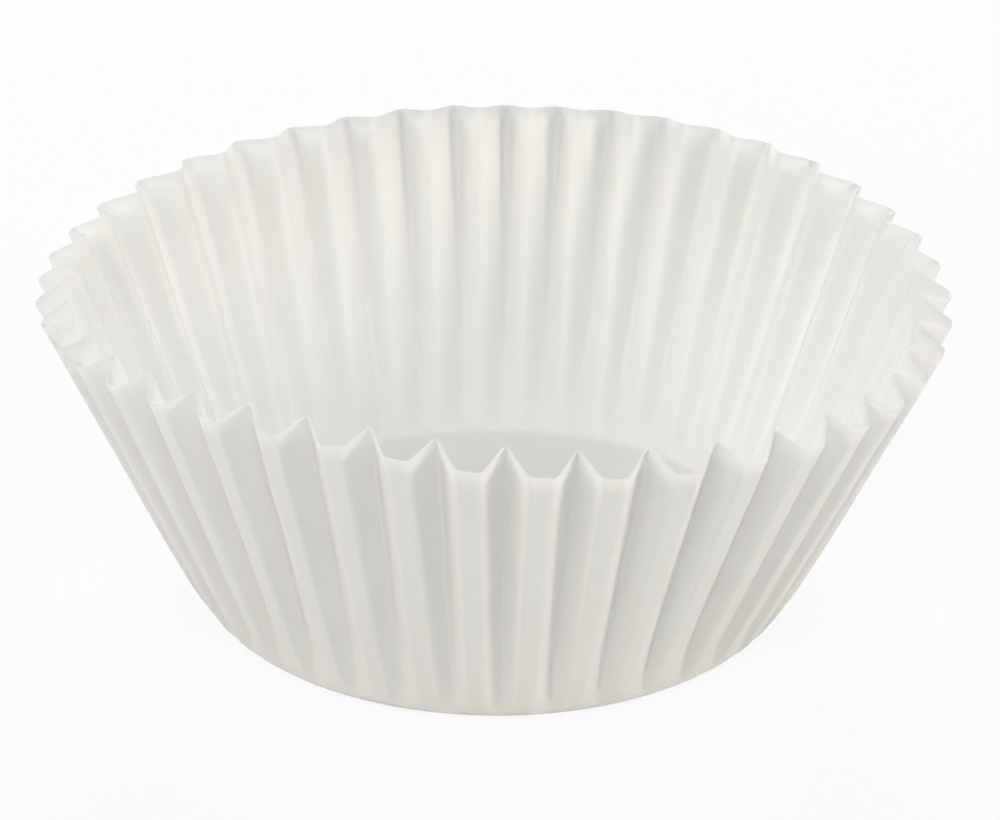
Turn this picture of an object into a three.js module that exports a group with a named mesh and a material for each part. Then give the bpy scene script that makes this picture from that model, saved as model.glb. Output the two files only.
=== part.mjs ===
// Fluted paper baking cup, in millimetres with +Z up.
// One flat disc of thin white paper is pressed into a cup: its middle stays flat as the base, and the
// rest rises as a leaning wall whose spare paper is taken up in folds, the flutes.
// The origin is the centre of the underside. A bearing of 0 degrees is the front, along -Y, and
// bearings grow towards +X.

import * as THREE from "three";
import { mergeVertices } from "three/addons/utils/BufferGeometryUtils.js";

// Driving dimensions, in millimetres and degrees

const baseDiameter = 50;
const wallLength = 30; // along the paper, from the base bend to the rim
const wallFlare = 19.6; // lean of the wall away from upright
const paperThickness = 0.08;
const baseBendRadius = 0.8; // paper each side of the corner that is used up in the bend
const fluteCount = 44;
const fluteDepth = 2.6; // from the inner folds to the outer folds, at the rim
const outerFoldFlat = 1.15; // pressed flat on the top of an outer fold, at the rim
const outerCreaseWidth = 0.5; // bent part on each side of that flat, at the rim
const innerFoldWidth = 0.6; // bent part of an inner fold, at the rim
const firstFoldTurn = -1.9; // bearing of the first outer fold from straight behind

// A pressed cup is a little uneven. Each sway goes up and down a number of times round the cup, by
// its amount in degrees, with one crest at the bearing given.

const flareSways = [
  { waves: 1, amount: 2.3, crest: 36 },
  { waves: 2, amount: 1.9, crest: 85 },
  { waves: 3, amount: 2.3, crest: 40 },
];
const spacingSways = [
  { waves: 1, amount: 2.8, crest: -134 },
  { waves: 2, amount: 2.1, crest: 45 },
  { waves: 3, amount: 2.0, crest: 18 },
  { waves: 4, amount: 0.7, crest: -30 },
];
const leanSways = [{ waves: 2, amount: 0.6, crest: -49 }];

// Fineness of the faces

const wallBands = 4;
const crowdingToBase = 1.8; // above 1, the bands are narrower near the base

const baseRadius = baseDiameter / 2;
const radians = THREE.MathUtils.degToRad;

function sway(list, bearing) {
  let total = 0;
  for (const { waves, amount, crest } of list) {
    total += radians(amount) * Math.cos(waves * (bearing - radians(crest)));
  }
  return total;
}

// Half the spare length that the flat disc has over the cup, at a distance up the wall: the depth of
// the folds that take it up grows in proportion.
function sparePaper(distance) {
  const flat = baseRadius + distance;
  const gathered = baseRadius + distance * Math.sin(radians(wallFlare));
  return Math.sqrt(flat ** 2 - gathered ** 2);
}

function foldDepth(distance) {
  if (distance <= 0) {
    return 0;
  }
  return (fluteDepth * sparePaper(distance)) / sparePaper(wallLength);
}

// Section of one flute, as stations across its pitch. Position 0 is the middle of the outer fold and a
// half is the inner fold. Swing is 1 at the outer fold and -1 at the inner fold. An outer fold is flat
// between two creases, an inner fold is one crease, and straight flanks join them.
function fluteStations() {
  const rimRadius = baseRadius + wallLength * Math.sin(radians(wallFlare));
  const pitch = (2 * Math.PI * rimRadius) / fluteCount;
  const mostForFolds = 0.9; // of the pitch, so that the flanks keep some width
  const folds = outerFoldFlat + 2 * outerCreaseWidth + innerFoldWidth;
  const perPitch = Math.min(1 / pitch, mostForFolds / folds);
  const flat = (outerFoldFlat / 2) * perPitch;
  const crease = outerCreaseWidth * perPitch;
  const inner = (innerFoldWidth / 2) * perPitch;
  const slope = 2 / (0.5 - flat - crease / 2 - inner / 2);
  const half = [
    { position: 0, swing: 1 },
    { position: flat, swing: 1 },
    { position: flat + crease, swing: 1 - (slope * crease) / 2 },
    { position: 0.5 - inner, swing: (slope * inner) / 2 - 1 },
  ];
  const otherHalf = half.slice(1).reverse();
  return [
    ...half,
    { position: 0.5, swing: -1 },
    ...otherHalf.map(({ position, swing }) => ({ position: 1 - position, swing })),
  ];
}

// Middle of the paper before it is fluted: the flat base, the bend and the straight wall. Distance is
// measured along the paper from the corner, and is negative on the base.
function plainSection(distance, flare) {
  const wall = new THREE.Vector2(Math.sin(flare), Math.cos(flare));
  const corner = new THREE.Vector2(baseRadius, paperThickness / 2);
  if (distance <= -baseBendRadius) {
    return { point: new THREE.Vector2(corner.x + distance, corner.y), along: new THREE.Vector2(1, 0) };
  }
  if (distance >= baseBendRadius) {
    return { point: corner.clone().addScaledVector(wall, distance), along: wall };
  }
  const bend = new THREE.QuadraticBezierCurve(
    new THREE.Vector2(baseRadius - baseBendRadius, corner.y),
    corner,
    corner.clone().addScaledVector(wall, baseBendRadius),
  );
  const share = (distance + baseBendRadius) / (2 * baseBendRadius);
  return { point: bend.getPoint(share), along: bend.getTangent(share) };
}

// Middle of the folded paper. The turn counts flutes from the first outer fold, which is behind.
function sheetPoint(distance, turn, swing) {
  const even = Math.PI + radians(firstFoldTurn) + (2 * Math.PI * turn) / fluteCount;
  const bearing = even + sway(spacingSways, even) + swing * sway(leanSways, even);
  const flare = radians(wallFlare) + sway(flareSways, bearing);
  const { point, along } = plainSection(distance, flare);
  const outward = (swing * foldDepth(distance)) / 2;
  const radius = point.x + outward * along.y;
  const height = point.y - outward * along.x;
  return new THREE.Vector3(radius * Math.sin(bearing), -radius * Math.cos(bearing), height);
}

// Rings of the paper, from the middle of the base to the rim
function ringDistances() {
  const rings = [-baseRadius, -baseBendRadius, 0, baseBendRadius];
  for (let band = 1; band <= wallBands; band += 1) {
    rings.push(wallLength * (band / wallBands) ** crowdingToBase);
  }
  return rings;
}

// The rings of the middle sheet as points, one row for each ring
function middleSheet(rings, stations) {
  return rings.map((distance) => {
    const row = [];
    for (let flute = 0; flute < fluteCount; flute += 1) {
      for (const { position, swing } of stations) {
        row.push(sheetPoint(distance, flute + position, swing));
      }
    }
    return row;
  });
}

// Direction out of the cup at a point of the middle sheet. The base faces straight down.
function outOfCup(sheet, rings, ring, place) {
  if (rings[ring] <= -baseBendRadius) {
    return new THREE.Vector3(0, 0, -1);
  }
  const row = sheet[ring];
  const above = sheet[Math.min(ring + 1, rings.length - 1)][place];
  const below = sheet[ring - 1][place];
  const round = row[(place + 1) % row.length].clone().sub(row[(place + row.length - 1) % row.length]);
  return round.cross(above.clone().sub(below)).normalize();
}

// A turned shell splits its four-sided cells along one diagonal, which on the way down the inside is
// the other one of the paper. The cells of the inside change theirs, so that the two faces of a
// twisted cell stay parallel.
function matchDiagonals(shell, sectionPoints) {
  const index = shell.getIndex();
  const strips = sectionPoints - 1;
  for (let cell = 0; cell < index.count / 6; cell += 1) {
    if (cell % strips > strips / 2) {
      const [first, second, fourth, third] = [0, 1, 2, 3].map((corner) => index.getX(6 * cell + corner));
      const corners = [first, second, third, third, fourth, first];
      corners.forEach((corner, place) => index.setX(6 * cell + place, corner));
    }
  }
}

// The paper is a turned shell that runs from the middle of the underside up the outside, over the rim
// and down the inside. Each of its points is then moved to its place on the folded sheet.
function foldedPaper() {
  const rings = ringDistances();
  const stations = fluteStations();
  const sheet = middleSheet(rings, stations);
  const places = fluteCount * stations.length;
  const outside = rings.map((distance, ring) => ({ ring, skin: 0.5 }));
  const inside = outside.map(({ ring }) => ({ ring, skin: -0.5 })).reverse();
  const section = [...outside, ...inside];
  const outline = section.map(({ ring, skin }) => {
    return new THREE.Vector2(Math.max(0, baseRadius + rings[ring]), rings[ring] - skin * paperThickness);
  });
  const shell = new THREE.LatheGeometry(outline, places);
  matchDiagonals(shell, section.length);
  const position = shell.getAttribute("position");
  for (let index = 0; index < position.count; index += 1) {
    const place = Math.floor(index / section.length) % places;
    const { ring, skin } = section[index % section.length];
    const point = sheet[ring][place].clone();
    point.addScaledVector(outOfCup(sheet, rings, ring, place), skin * paperThickness);
    position.setXYZ(index, point.x, point.y, point.z);
  }
  shell.deleteAttribute("normal");
  shell.deleteAttribute("uv");
  const paper = mergeVertices(shell, 1e-6);
  paper.computeVertexNormals();
  return paper;
}

const whitePaper = new THREE.MeshStandardMaterial({
  color: new THREE.Color(0.93, 0.93, 0.91),
  roughness: 0.85,
  metalness: 0,
  side: THREE.DoubleSide,
});

const bakingCup = new THREE.Mesh(foldedPaper(), whitePaper);
bakingCup.name = "baking_cup";

const cup = new THREE.Group();
cup.add(bakingCup);

export default cup;
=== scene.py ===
"""Fluted paper baking cup: a thin white sheet pressed into a cup, on a pale floor in soft light."""

import math

import bmesh
import bpy
from mathutils import Matrix, Vector, noise


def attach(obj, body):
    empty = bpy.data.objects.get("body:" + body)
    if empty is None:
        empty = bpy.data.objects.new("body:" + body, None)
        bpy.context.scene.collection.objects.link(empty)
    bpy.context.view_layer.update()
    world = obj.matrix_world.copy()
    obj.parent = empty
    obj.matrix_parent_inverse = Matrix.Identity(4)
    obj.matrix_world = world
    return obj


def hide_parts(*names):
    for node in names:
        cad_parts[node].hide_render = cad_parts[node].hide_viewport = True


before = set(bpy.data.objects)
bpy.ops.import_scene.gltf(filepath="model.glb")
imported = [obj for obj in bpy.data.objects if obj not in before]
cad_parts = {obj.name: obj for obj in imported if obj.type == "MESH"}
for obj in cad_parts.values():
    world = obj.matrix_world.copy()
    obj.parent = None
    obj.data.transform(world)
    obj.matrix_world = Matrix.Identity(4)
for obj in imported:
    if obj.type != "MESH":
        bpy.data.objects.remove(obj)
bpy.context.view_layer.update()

MM = 0.001

# The cup's own sizes, as in its CAD source

BASE_RADIUS = 25 * MM
WALL_LENGTH = 30 * MM
WALL_FLARE = math.radians(19.6)
PAPER_THICKNESS = 0.08 * MM
BASE_BEND = 0.8 * MM
FLUTE_COUNT = 44
FLUTE_DEPTH = 2.6 * MM
FIRST_FOLD_TURN = math.radians(-1.9)

# Unevenness round the cup, as in its CAD source: waves, amount and bearing of a crest in degrees

FLARE_SWAYS = [(1, 2.3, 36), (2, 1.9, 85), (3, 2.3, 40)]
SPACING_SWAYS = [(1, 2.8, -134), (2, 2.1, 45), (3, 2.0, 18), (4, 0.7, -30)]
LEAN_SWAYS = [(2, 0.6, -49)]

# Folds at the rim, in front and behind, where the CAD source has them alike: half the flat of an outer
# fold, the crease beside that flat, and half the bend of an inner fold

FRONT_FLAT, BACK_FLAT = 0.65 * MM, 0.12 * MM
FRONT_CREASE, BACK_CREASE = 0.45 * MM, 0.35 * MM
FRONT_INNER, BACK_INNER = 0.25 * MM, 0.9 * MM

# Fineness of the sheet

POINTS_PER_FLUTE = 24
BASE_RINGS = 6
BEND_RINGS = 4
WALL_RINGS = 26
CROWDING_TO_BASE = 1.5
CROWDING_TO_BEND = 0.6

# Marks of one handled cup, which the CAD solid leaves out. The folds round one bearing in front are
# opened and lean out further, and all folds fade in above the base, where they are a share deeper.

FRONT_BEARING = math.radians(3)
FRONT_SPAN = math.radians(16)
FRONT_OPENING = 0.17
FRONT_FLARE = math.radians(0.7)
BASE_FADE = 4 * MM
LOW_FOLD_GAIN = 0.5
FLUTE_DEPTH_SPREAD = 0.05
FOLD_WANDER = 0.16 * MM
SHEET_WAVE = 0.07 * MM
RIM_CUT_SPREAD = 0.18 * MM

# Random field behind each of the last four: its row, the change of row up the wall, and how close its
# waves are round the cup

DEPTH_FIELD = (4.5, 0.0, 0.9)
WANDER_FIELD = (20.5, 1.5, 1.1)
WAVE_FIELD = (9.5, 5.0, 1.3)
RIM_CUT_FIELD = (1.5, 0.0, 0.35)


class Value:
    """A shader socket that takes part in Python expressions."""

    def __init__(self, tree, socket):
        self.tree = tree
        self.socket = socket

    def math(self, operation, *others):
        return self.tree.node("ShaderNodeMath", {"operation": operation}, self, *others).out()

    def __add__(self, other):
        return self.math("ADD", other)

    __radd__ = __add__

    def __mul__(self, other):
        return self.math("MULTIPLY", other)

    __rmul__ = __mul__


class Made:
    """A node that has just been made, from which outputs are taken by name or place."""

    def __init__(self, tree, node):
        self.tree = tree
        self.node = node

    def out(self, name=0):
        return Value(self.tree, self.node.outputs[name])


class Tree:
    """The node tree of a material or of the world."""

    def __init__(self, owner):
        owner.use_nodes = True
        self.nodes = owner.node_tree.nodes
        self.links = owner.node_tree.links
        self.nodes.clear()

    def node(self, kind, settings, *places, **named):
        made = self.nodes.new(kind)
        for name, value in settings.items():
            setattr(made, name, value)
        spaced = {name.replace("_", " "): value for name, value in named.items()}
        for name, value in [*enumerate(places), *spaced.items()]:
            socket = made.inputs[name]
            if isinstance(value, Value):
                self.links.new(value.socket, socket)
            else:
                socket.default_value = value
        return Made(self, made)

    def mix_colours(self, factor, first, second):
        made = self.nodes.new("ShaderNodeMix")
        made.data_type = "RGBA"
        sockets = {item.identifier: item for item in made.inputs}
        wanted = {"Factor_Float": factor, "A_Color": first, "B_Color": second}
        for name, value in wanted.items():
            if isinstance(value, Value):
                self.links.new(value.socket, sockets[name])
            else:
                sockets[name].default_value = value
        result = next(item for item in made.outputs if item.identifier == "Result_Color")
        return Value(self, result)


# The folded sheet

def sway(terms, bearing):
    """Unevenness at a bearing, as an angle: a sum of waves that close round the cup."""
    return sum(math.radians(amount) * math.cos(waves * (bearing - math.radians(crest)))
               for waves, amount, crest in terms)


def spare_paper(distance):
    """Measure of the disc's spare paper at a distance up the wall, which the folds' depth follows."""
    flat = BASE_RADIUS + distance
    gathered = BASE_RADIUS + distance * math.sin(WALL_FLARE)
    return math.sqrt(flat ** 2 - gathered ** 2)


def fold_depth(distance):
    """Depth from inner to outer folds, as far as the spare paper alone settles it."""
    if distance <= 0:
        return 0.0
    return FLUTE_DEPTH * spare_paper(distance) / spare_paper(WALL_LENGTH)


def fold_swing(turn):
    """1 on an outer fold and -1 on an inner fold. Turns count flutes from the first outer fold, behind.

    Outer folds are pressed flat between two creases, and straight flanks run to the inner folds.
    """
    rim_radius = BASE_RADIUS + WALL_LENGTH * math.sin(WALL_FLARE)
    pitch = 2 * math.pi * rim_radius / FLUTE_COUNT
    frontness = 0.5 - 0.5 * math.cos(2 * math.pi * turn / FLUTE_COUNT)
    widths = ((FRONT_FLAT, BACK_FLAT), (FRONT_CREASE, BACK_CREASE), (FRONT_INNER, BACK_INNER))
    flat, crease, inner = ((back + (front - back) * frontness) / pitch for front, back in widths)
    slope = 2 / (0.5 - flat - crease / 2 - inner / 2)
    across = abs(turn - round(turn))
    if across < flat:
        return 1.0
    if across < flat + crease:
        return 1 - slope * (across - flat) ** 2 / (2 * crease)
    if 0.5 - across < inner:
        return slope * (0.5 - across) ** 2 / (2 * inner) - 1
    return 1 - slope * (across - flat - crease / 2)


def plain_section(distance, flare):
    """Middle of the unfluted paper as radius and height, and the direction that it runs in."""
    lift = PAPER_THICKNESS / 2
    if distance <= -BASE_BEND:
        return BASE_RADIUS + distance, lift, 1.0, 0.0
    run, rise = math.sin(flare), math.cos(flare)
    if distance >= BASE_BEND:
        return BASE_RADIUS + distance * run, lift + distance * rise, run, rise
    share = (distance + BASE_BEND) / (2 * BASE_BEND)
    radius = BASE_RADIUS - BASE_BEND * (1 - share) ** 2 + BASE_BEND * run * share ** 2
    height = lift + BASE_BEND * rise * share ** 2
    along = Vector((1 - share + run * share, rise * share)).normalized()
    return radius, height, along.x, along.y


def around(turn, climb, field):
    """A smooth random value from -1 to 1 that closes on itself round the cup."""
    row, change, closeness = field
    angle = 2 * math.pi * turn / FLUTE_COUNT
    reach = FLUTE_COUNT * closeness / (2 * math.pi)
    return noise.noise(Vector((reach * math.cos(angle), reach * math.sin(angle), row + change * climb)))


def sheet_point(turn, distance):
    """Place of a point of the flat disc on the folded cup."""
    climb = max(0.0, distance) / WALL_LENGTH
    swing = fold_swing(turn)
    distance *= 1 + RIM_CUT_SPREAD / WALL_LENGTH * climb * around(turn, climb, RIM_CUT_FIELD)
    even = math.pi + FIRST_FOLD_TURN + 2 * math.pi * turn / FLUTE_COUNT
    bearing = even + sway(SPACING_SWAYS, even) + swing * sway(LEAN_SWAYS, even)
    from_front = math.remainder(bearing - FRONT_BEARING, 2 * math.pi) / FRONT_SPAN
    front = math.exp(-from_front ** 2)
    flare = WALL_FLARE + sway(FLARE_SWAYS, bearing) + FRONT_FLARE * front
    radius, height, run, rise = plain_section(distance, flare)
    spread = FLUTE_DEPTH_SPREAD * around(turn, climb, DEPTH_FIELD)
    depth = fold_depth(distance) * (1 + FRONT_OPENING * front + spread)
    depth *= 1 + LOW_FOLD_GAIN * (1 - climb) ** 2
    depth *= 1 - (1 - min(1.0, max(0.0, distance) / BASE_FADE)) ** 2
    outward = swing * depth / 2
    outward += SHEET_WAVE * climb ** 0.5 * around(turn, climb, WAVE_FIELD)
    if radius > 0:
        bearing += FOLD_WANDER * climb * around(turn, climb, WANDER_FIELD) / radius
    radius += outward * rise
    height -= outward * run
    return Vector((radius * math.sin(bearing), -radius * math.cos(bearing), height))


def ring_distances():
    """Distances along the paper from the corner of base and wall, from the middle out to the rim."""
    flat = BASE_RADIUS - BASE_BEND
    wall = WALL_LENGTH - BASE_BEND
    base_shares = [(ring / BASE_RINGS) ** CROWDING_TO_BEND for ring in range(1, BASE_RINGS + 1)]
    bend_shares = [2 * ring / BEND_RINGS - 1 for ring in range(1, BEND_RINGS + 1)]
    wall_shares = [(ring / WALL_RINGS) ** CROWDING_TO_BASE for ring in range(1, WALL_RINGS + 1)]
    return [
        *(flat * share - BASE_RADIUS for share in base_shares),
        *(BASE_BEND * share for share in bend_shares),
        *(BASE_BEND + wall * share for share in wall_shares),
    ]


def make_cup(paper):
    """Cuts the flat disc as rings round its centre, folds it and gives it its thickness."""
    sheet = bmesh.new()
    chart = sheet.loops.layers.uv.new("FlatPaper")
    places = FLUTE_COUNT * POINTS_PER_FLUTE
    distances = ring_distances()
    bmesh.ops.create_circle(sheet, cap_ends=True, cap_tris=True, segments=places,
                            radius=BASE_RADIUS + distances[0])
    edge = [item for item in sheet.edges if item.is_boundary]
    for inner, outer in zip(distances, distances[1:]):
        grown = bmesh.ops.extrude_edge_only(sheet, edges=edge)["geom"]
        corners = [item for item in grown if isinstance(item, bmesh.types.BMVert)]
        growth = (BASE_RADIUS + outer) / (BASE_RADIUS + inner)
        bmesh.ops.scale(sheet, vec=(growth, growth, 1), verts=corners)
        edge = [item for item in grown if isinstance(item, bmesh.types.BMEdge) and item.is_boundary]
    blank = 2 * (BASE_RADIUS + WALL_LENGTH)
    for face in sheet.faces:
        for loop in face.loops:
            loop[chart].uv = (loop.vert.co.x / blank + 0.5, loop.vert.co.y / blank + 0.5)
    for corner in sheet.verts:
        flat = corner.co.copy()
        turn = math.atan2(flat.y, flat.x) / (2 * math.pi) * FLUTE_COUNT
        corner.co = sheet_point(turn, flat.length - BASE_RADIUS)
    bmesh.ops.recalc_face_normals(sheet, faces=sheet.faces)
    floor = min(sheet.faces, key=lambda item: item.calc_center_median().length)
    if floor.normal.z > 0:
        bmesh.ops.reverse_faces(sheet, faces=sheet.faces)
    for face in sheet.faces:
        face.smooth = True
    mesh = bpy.data.meshes.new("baking_cup_paper")
    sheet.to_mesh(mesh)
    sheet.free()
    mesh.materials.append(paper)
    cup = bpy.data.objects.new("baking_cup_paper", mesh)
    bpy.context.scene.collection.objects.link(cup)
    wall = cup.modifiers.new("PaperThickness", "SOLIDIFY")
    wall.thickness = PAPER_THICKNESS
    wall.offset = 0
    wall.use_even_offset = False
    return cup


# Paper. Clouds and tooth are counted across the flat disc and fibres over a metre. Streaks are counted
# over a radian round the disc, and drift slowly from its middle to its edge.

PAPER_SHADE = (0.886, 0.88, 0.865, 1)
PAPER_LIGHT = (0.921, 0.917, 0.907, 1)
CLOUD_SCALE = 30.0
CLOUD_SHARE = 0.6
STREAK_SPREAD = 62.0
STREAK_DRIFT = 9.0
TOOTH_SCALE = 420.0
FIBRE_SCALE = 1800.0
LEAST_ROUGHNESS = 0.74
ROUGHNESS_SPREAD = 0.14
TOOTH_HEIGHT, FIBRE_HEIGHT, STREAK_HEIGHT = 0.3, 0.2, 0.5
RELIEF = 0.05 * MM
LIGHT_REACH = 0.12 * MM


def make_paper():
    """Matt white greaseproof paper: faint clouds, streaks along the folds, and a fine tooth."""
    material = bpy.data.materials.new("WhiteCupPaper")
    tree = Tree(material)
    chart = tree.node("ShaderNodeUVMap", {"uv_map": "FlatPaper"}).out("UV")
    place = tree.node("ShaderNodeTexCoord", {}).out("Object")

    def grain(vector, scale, detail):
        return tree.node("ShaderNodeTexNoise", {"noise_dimensions": "3D"}, Vector=vector, Scale=scale,
                         Detail=detail, Roughness=0.55).out()

    def vector(operation, *places, **named):
        return tree.node("ShaderNodeVectorMath", {"operation": operation}, *places, **named).out()

    flat = vector("SUBTRACT", chart, (0.5, 0.5, 0))
    outwards = vector("SCALE", vector("NORMALIZE", flat), Scale=STREAK_SPREAD)
    streaks = grain(vector("ADD", outwards, vector("SCALE", flat, Scale=STREAK_DRIFT)), 1.0, 2.0)
    clouds = grain(chart, CLOUD_SCALE, 3.0)
    tooth = grain(chart, TOOTH_SCALE, 2.0)
    fibres = grain(place, FIBRE_SCALE, 1.0)
    tone = tree.mix_colours(CLOUD_SHARE * clouds + (1 - CLOUD_SHARE) * streaks, PAPER_SHADE, PAPER_LIGHT)
    roughness = LEAST_ROUGHNESS + ROUGHNESS_SPREAD * tooth
    height = TOOTH_HEIGHT * tooth + FIBRE_HEIGHT * fibres + STREAK_HEIGHT * streaks
    bump = tree.node("ShaderNodeBump", {}, Strength=0.4, Distance=RELIEF, Height=height)
    surface = tree.node("ShaderNodeBsdfPrincipled", {}, Base_Color=tone, Roughness=roughness,
                        Normal=bump.out("Normal"), Specular_IOR_Level=0.25, Subsurface_Weight=0.35,
                        Subsurface_Radius=(1, 1, 1), Subsurface_Scale=LIGHT_REACH)
    tree.node("ShaderNodeOutputMaterial", {}, Surface=surface.out())
    return material


# Floor. Its opening lies under the flat of the base, so that light from below reaches the underside.

FLOOR_RADIUS = 3.0
FLOOR_SIDES = 96
FLOOR_GAP = 0.02 * MM
FLOOR_GREY = (0.81, 0.81, 0.81, 1)
FLOOR_WHITENESS = 0.88
WHITE = (1, 1, 1, 1)


def background_rays(tree):
    """1 for rays to the eye, from gloss or through glass, which show the background, and 0 for light."""
    rays = tree.node("ShaderNodeLightPath", {})
    eye, gloss, glass = (rays.out(f"Is {kind} Ray") for kind in ("Camera", "Glossy", "Transmission"))
    return eye.math("MAXIMUM", gloss).math("MAXIMUM", glass)


def make_floor():
    """Plain floor, near white to the eye with part of the cup's shadow, and clear from below."""
    material = bpy.data.materials.new("PaleFloor")
    tree = Tree(material)
    matt = tree.node("ShaderNodeBsdfDiffuse", {}, Color=FLOOR_GREY)
    glow = tree.node("ShaderNodeEmission", {}, Color=WHITE, Strength=1.0)
    whiteness = FLOOR_WHITENESS * background_rays(tree)
    above = tree.node("ShaderNodeMixShader", {}, whiteness, matt.out(), glow.out())
    clear = tree.node("ShaderNodeBsdfTransparent", {})
    below = tree.node("ShaderNodeNewGeometry", {}).out("Backfacing")
    both = tree.node("ShaderNodeMixShader", {}, below, above.out(), clear.out())
    tree.node("ShaderNodeOutputMaterial", {}, Surface=both.out())
    plane = bmesh.new()
    opening = BASE_RADIUS - BASE_BEND
    bmesh.ops.create_circle(plane, segments=FLOOR_SIDES, radius=opening)
    grown = bmesh.ops.extrude_edge_only(plane, edges=plane.edges[:])["geom"]
    corners = [item for item in grown if isinstance(item, bmesh.types.BMVert)]
    bmesh.ops.scale(plane, vec=(FLOOR_RADIUS / opening, FLOOR_RADIUS / opening, 1), verts=corners)
    bmesh.ops.recalc_face_normals(plane, faces=plane.faces)
    if next(iter(plane.faces)).normal.z < 0:
        bmesh.ops.reverse_faces(plane, faces=plane.faces)
    mesh = bpy.data.meshes.new("studio_floor")
    plane.to_mesh(mesh)
    plane.free()
    mesh.materials.append(material)
    ground = bpy.data.objects.new("studio_floor", mesh)
    ground.location.z = -FLOOR_GAP
    bpy.context.scene.collection.objects.link(ground)


# Light. The lower boxes in front and beside the cup are warmer than those that light its inside.

LAMP_RANGE = 0.7
LAMP_WIDTH = 0.16
LAMP_HEIGHT = 0.26
LAMP_AIM = Vector((0, 0, 15 * MM))
WARM = (1.0, 0.957, 0.825)
COOL = (0.97, 0.985, 1.0)
NEUTRAL = (1.0, 1.0, 1.0)


def add_lamp(name, bearing, elevation, power, colour=NEUTRAL):
    """Soft box that faces the cup. A bearing of 0 degrees is the front and 90 the right."""
    around_cup, up = math.radians(bearing), math.radians(elevation)
    away = Vector((math.cos(up) * math.sin(around_cup), -math.cos(up) * math.cos(around_cup), math.sin(up)))
    data = bpy.data.lights.new(name, "AREA")
    data.shape = "RECTANGLE"
    data.size = LAMP_WIDTH
    data.size_y = LAMP_HEIGHT
    data.energy = power
    data.color = colour
    lamp = bpy.data.objects.new(name, data)
    lamp.location = LAMP_AIM + LAMP_RANGE * away
    lamp.rotation_mode = "QUATERNION"
    lamp.rotation_quaternion = away.to_track_quat("Z", "Y")
    bpy.context.scene.collection.objects.link(lamp)


def make_light():
    """Soft boxes all round the cup and one under it, and a surround that is white to the eye alone."""
    add_lamp("front_softbox", 0, 50, 0.98, COOL)
    add_lamp("front_low_softbox", 0, 18, 0.17, WARM)
    add_lamp("front_left_softbox", -32, 31, 0.58, WARM)
    add_lamp("front_right_softbox", 35, 42, 0.12, WARM)
    add_lamp("right_low_softbox", 65, 18, 1.3, WARM)
    add_lamp("left_low_softbox", -65, 18, 0.6, WARM)
    add_lamp("right_high_softbox", 65, 45, 0.44, COOL)
    add_lamp("left_high_softbox", -65, 45, 0.6, COOL)
    add_lamp("far_right_softbox", 98, 38, 0.6)
    add_lamp("far_left_softbox", -98, 38, 0.8)
    add_lamp("back_low_softbox", 180, 15, 2.5, COOL)
    add_lamp("back_high_softbox", 180, 45, 1.25, COOL)
    add_lamp("under_softbox", 0, -89, 2.8)
    world = bpy.data.worlds.new("StudioSurround")
    bpy.context.scene.world = world
    tree = Tree(world)
    dark = tree.node("ShaderNodeBackground", {}, Color=WHITE, Strength=0.0)
    seen = tree.node("ShaderNodeBackground", {}, Color=WHITE, Strength=1.0)
    both = tree.node("ShaderNodeMixShader", {}, background_rays(tree), dark.out(), seen.out())
    tree.node("ShaderNodeOutputWorld", {}, Surface=both.out())


# Camera, as fitted to the photograph. Its range and elevation are taken from the middle of the rim.

CAMERA_RANGE = 300 * MM
CAMERA_ELEVATION = math.radians(24.59)
CAMERA_PITCH = math.radians(26.87)
CAMERA_YAW = math.radians(0.081)
CAMERA_ROLL = math.radians(0.306)
CAMERA_LENS = 131.15
SENSOR_WIDTH = 36
NEAREST_SEEN = 10 * MM
FARTHEST_SEEN = 20


def make_camera():
    """Stands in front of the cup and looks down into it, at the photograph's angle and size."""
    data = bpy.data.cameras.new("photo_camera")
    data.lens = CAMERA_LENS
    data.sensor_width = SENSOR_WIDTH
    data.clip_start = NEAREST_SEEN
    data.clip_end = FARTHEST_SEEN
    camera = bpy.data.objects.new("photo_camera", data)
    rim_height = WALL_LENGTH * math.cos(WALL_FLARE)
    place = Vector((0, -CAMERA_RANGE * math.cos(CAMERA_ELEVATION),
                    CAMERA_RANGE * math.sin(CAMERA_ELEVATION) + rim_height))
    turn = Matrix.Rotation(-CAMERA_YAW, 4, "Z") @ Matrix.Rotation(math.pi / 2 - CAMERA_PITCH, 4, "X")
    camera.matrix_world = Matrix.Translation(place) @ turn @ Matrix.Rotation(CAMERA_ROLL, 4, "Z")
    bpy.context.scene.collection.objects.link(camera)
    bpy.context.scene.camera = camera


make_camera()
make_light()
make_floor()
cup = make_cup(make_paper())
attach(cup, "root")
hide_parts("baking_cup")
bpy.context.scene.view_settings.view_transform = "Standard"
